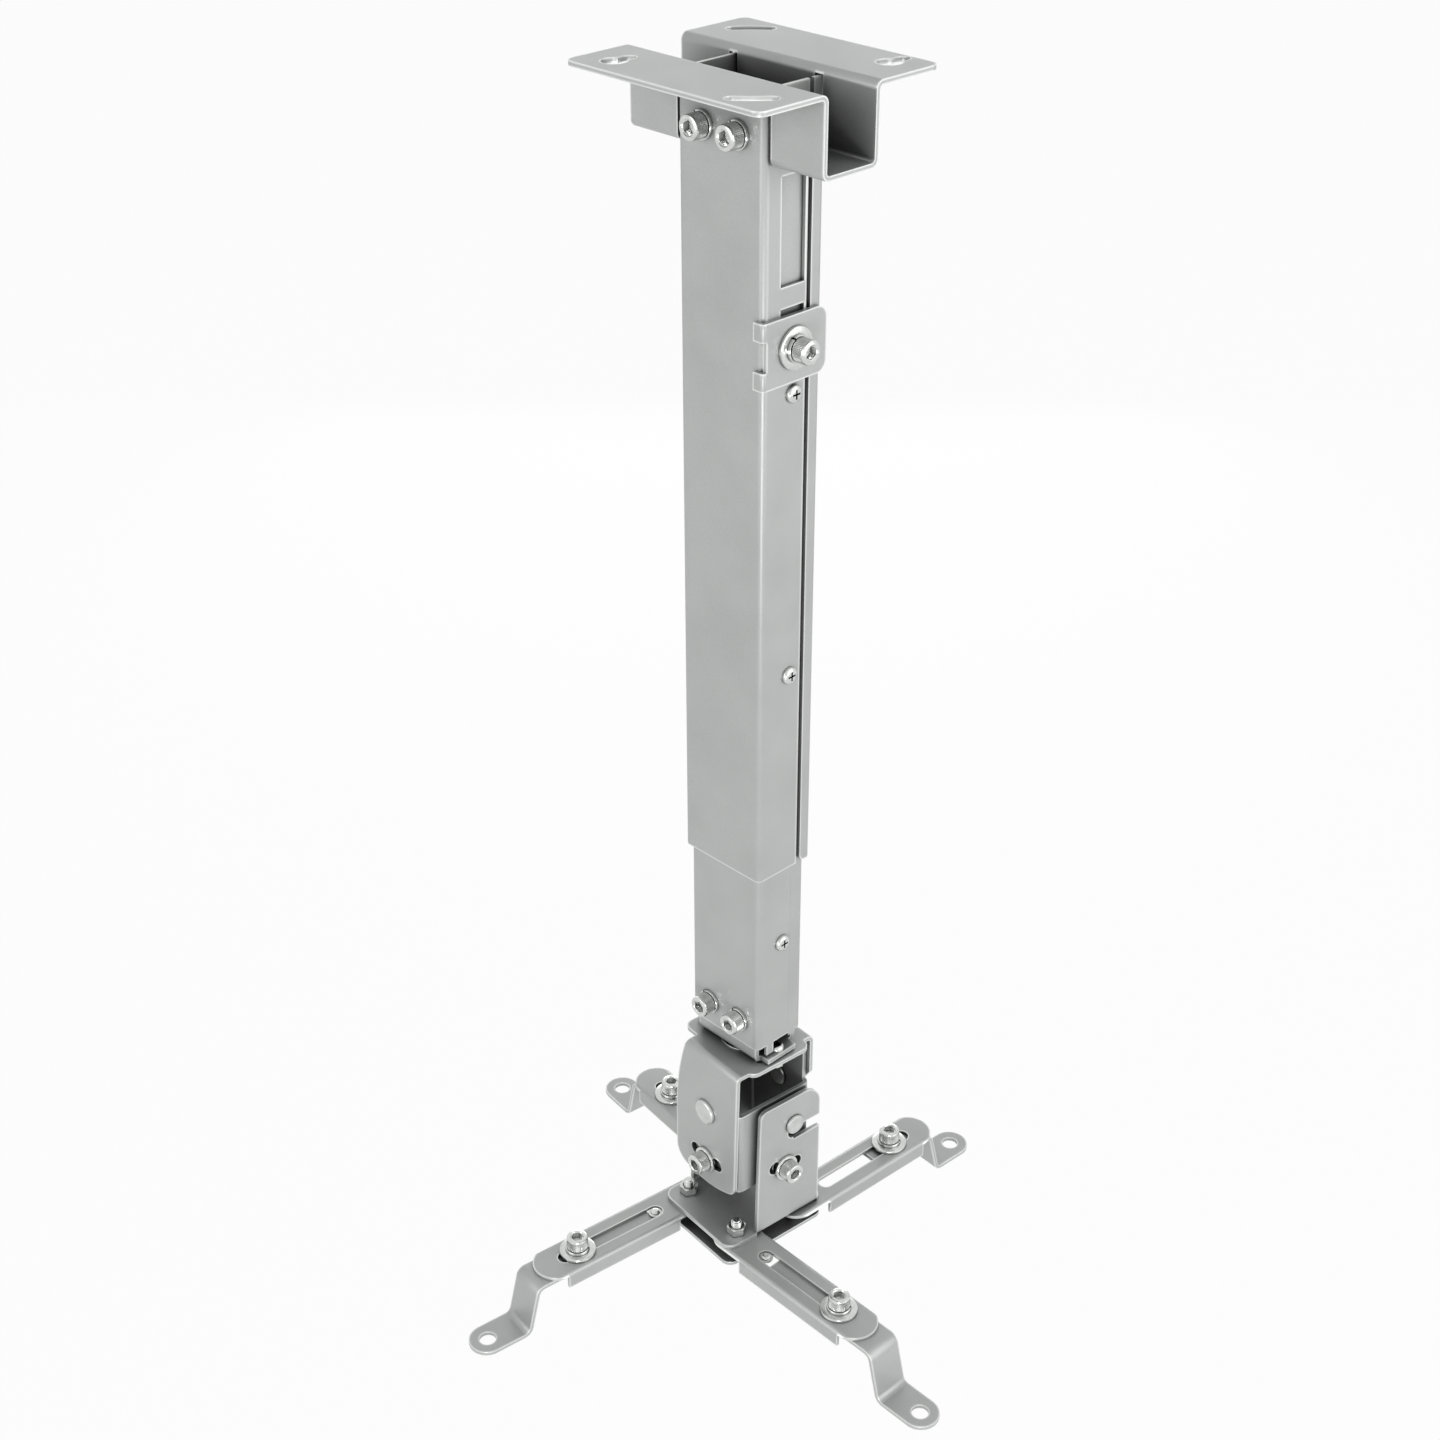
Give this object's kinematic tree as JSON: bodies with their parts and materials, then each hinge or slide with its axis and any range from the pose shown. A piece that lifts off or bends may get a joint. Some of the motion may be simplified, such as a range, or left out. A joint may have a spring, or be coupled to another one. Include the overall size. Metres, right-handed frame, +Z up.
{
  "type": "projector ceiling mount",
  "caption": "Silver ceiling mount for a projector: hat bracket, telescopic square column, swivel, roll and pitch head, and swinging arms with sliding feet.",
  "frame": {"origin": "centre of the face of the ceiling bracket that meets the ceiling", "axes": "+Z up out of the ceiling face, X along the ceiling bracket, Y across it, the bolt heads of the column on the -Y side"},
  "size_m": [0.2758, 0.2733, 0.57],
  "materials": {
    "silver_paint": "satin silver-grey paint",
    "zinc_steel": "bright zinc plating",
    "rivet_steel": "pressed rivet steel"
  },
  "bodies": {
    "ceiling_column": {"ceiling_bracket": "silver_paint", "outer_tube": "silver_paint", "top_bolts": "zinc_steel", "top_washers": "zinc_steel", "top_nuts": "zinc_steel", "clamp_plate": "silver_paint", "clamp_bolt": "zinc_steel", "clamp_washers": "zinc_steel", "outer_screws": "zinc_steel"},
    "inner_column": {"inner_tube": "silver_paint", "inner_screw": "zinc_steel", "end_bracket": "silver_paint", "end_bolts": "zinc_steel", "end_washers": "zinc_steel", "end_nuts": "zinc_steel", "swivel_bolt": "zinc_steel", "swivel_washer": "zinc_steel", "swivel_nut": "zinc_steel", "lock_screws": "zinc_steel", "lock_nuts": "zinc_steel"},
    "swivel_yoke": {"yoke": "silver_paint", "roll_rivets": "rivet_steel"},
    "roll_body": {"roll_link": "silver_paint", "roll_bolts": "zinc_steel", "roll_washers": "zinc_steel", "roll_nuts": "zinc_steel", "pitch_pins": "rivet_steel", "pitch_bolts": "zinc_steel", "pitch_washers": "zinc_steel", "pitch_nuts": "zinc_steel"},
    "pitch_body": {"pitch_bracket": "silver_paint", "lower_plate": "silver_paint", "corner_bolts": "zinc_steel", "corner_nuts": "zinc_steel", "corner_spacers": "zinc_steel"},
    "arm_front_left": {"arm_front_left": "silver_paint"},
    "foot_front_left": {"foot_front_left": "silver_paint", "foot_bolt_front_left": "zinc_steel", "foot_washers_front_left": "zinc_steel", "foot_nut_front_left": "zinc_steel"},
    "arm_front_right": {"arm_front_right": "silver_paint"},
    "foot_front_right": {"foot_front_right": "silver_paint", "foot_bolt_front_right": "zinc_steel", "foot_washers_front_right": "zinc_steel", "foot_nut_front_right": "zinc_steel"},
    "arm_rear_right": {"arm_rear_right": "silver_paint"},
    "foot_rear_right": {"foot_rear_right": "silver_paint", "foot_bolt_rear_right": "zinc_steel", "foot_washers_rear_right": "zinc_steel", "foot_nut_rear_right": "zinc_steel"},
    "arm_rear_left": {"arm_rear_left": "silver_paint"},
    "foot_rear_left": {"foot_rear_left": "silver_paint", "foot_bolt_rear_left": "zinc_steel", "foot_washers_rear_left": "zinc_steel", "foot_nut_rear_left": "zinc_steel"}
  },
  "joints": [
    {"name": "column_slide", "type": "slide", "parent": "ceiling_column", "child": "inner_column", "axis": [0, 0, -1], "range_m": [0, 0.2]},
    {"name": "head_swivel", "type": "hinge", "parent": "inner_column", "child": "swivel_yoke", "pos_m": [0, 0, -0.4444], "axis": [0, 0, 1], "range_deg": [-14.9, 25.1]},
    {"name": "roll", "type": "hinge", "parent": "swivel_yoke", "child": "roll_body", "pos_m": [0, 0, -0.477], "axis": [0.0889, 0.996, 0], "range_deg": [-15, 15]},
    {"name": "pitch", "type": "hinge", "parent": "roll_body", "child": "pitch_body", "pos_m": [0.00071, 0.00797, -0.485], "axis": [0.996, -0.0889, 0], "range_deg": [-15, 15]},
    {"name": "swing_front_left", "type": "hinge", "parent": "pitch_body", "child": "arm_front_left", "pos_m": [-0.01976, -0.01892, -0.5425], "axis": [0, 0, 1], "range_deg": [-40, 40]},
    {"name": "reach_front_left", "type": "slide", "parent": "arm_front_left", "child": "foot_front_left", "axis": [-0.1323, -0.9912, 0], "range_m": [-0.0165, 0.007]},
    {"name": "swing_front_right", "type": "hinge", "parent": "pitch_body", "child": "arm_front_right", "pos_m": [0.0161, -0.02212, -0.5425], "axis": [0, 0, 1], "range_deg": [-40, 40]},
    {"name": "reach_front_right", "type": "slide", "parent": "arm_front_right", "child": "foot_front_right", "axis": [0.9999, -0.0105, 0], "range_m": [-0.019, 0.0045]},
    {"name": "swing_rear_right", "type": "hinge", "parent": "pitch_body", "child": "arm_rear_right", "pos_m": [0.01937, 0.01454, -0.5425], "axis": [0, 0, 1], "range_deg": [-40, 40]},
    {"name": "reach_rear_right", "type": "slide", "parent": "arm_rear_right", "child": "foot_rear_right", "axis": [0.0628, 0.998, 0], "range_m": [-0.031, 0.0085]},
    {"name": "swing_rear_left", "type": "hinge", "parent": "pitch_body", "child": "arm_rear_left", "pos_m": [-0.01649, 0.01774, -0.5425], "axis": [0, 0, 1], "range_deg": [-40, 40]},
    {"name": "reach_rear_left", "type": "slide", "parent": "arm_rear_left", "child": "foot_rear_left", "axis": [-0.9923, 0.1236, 0], "range_m": [-0.0315, 0.008]}
  ]
}
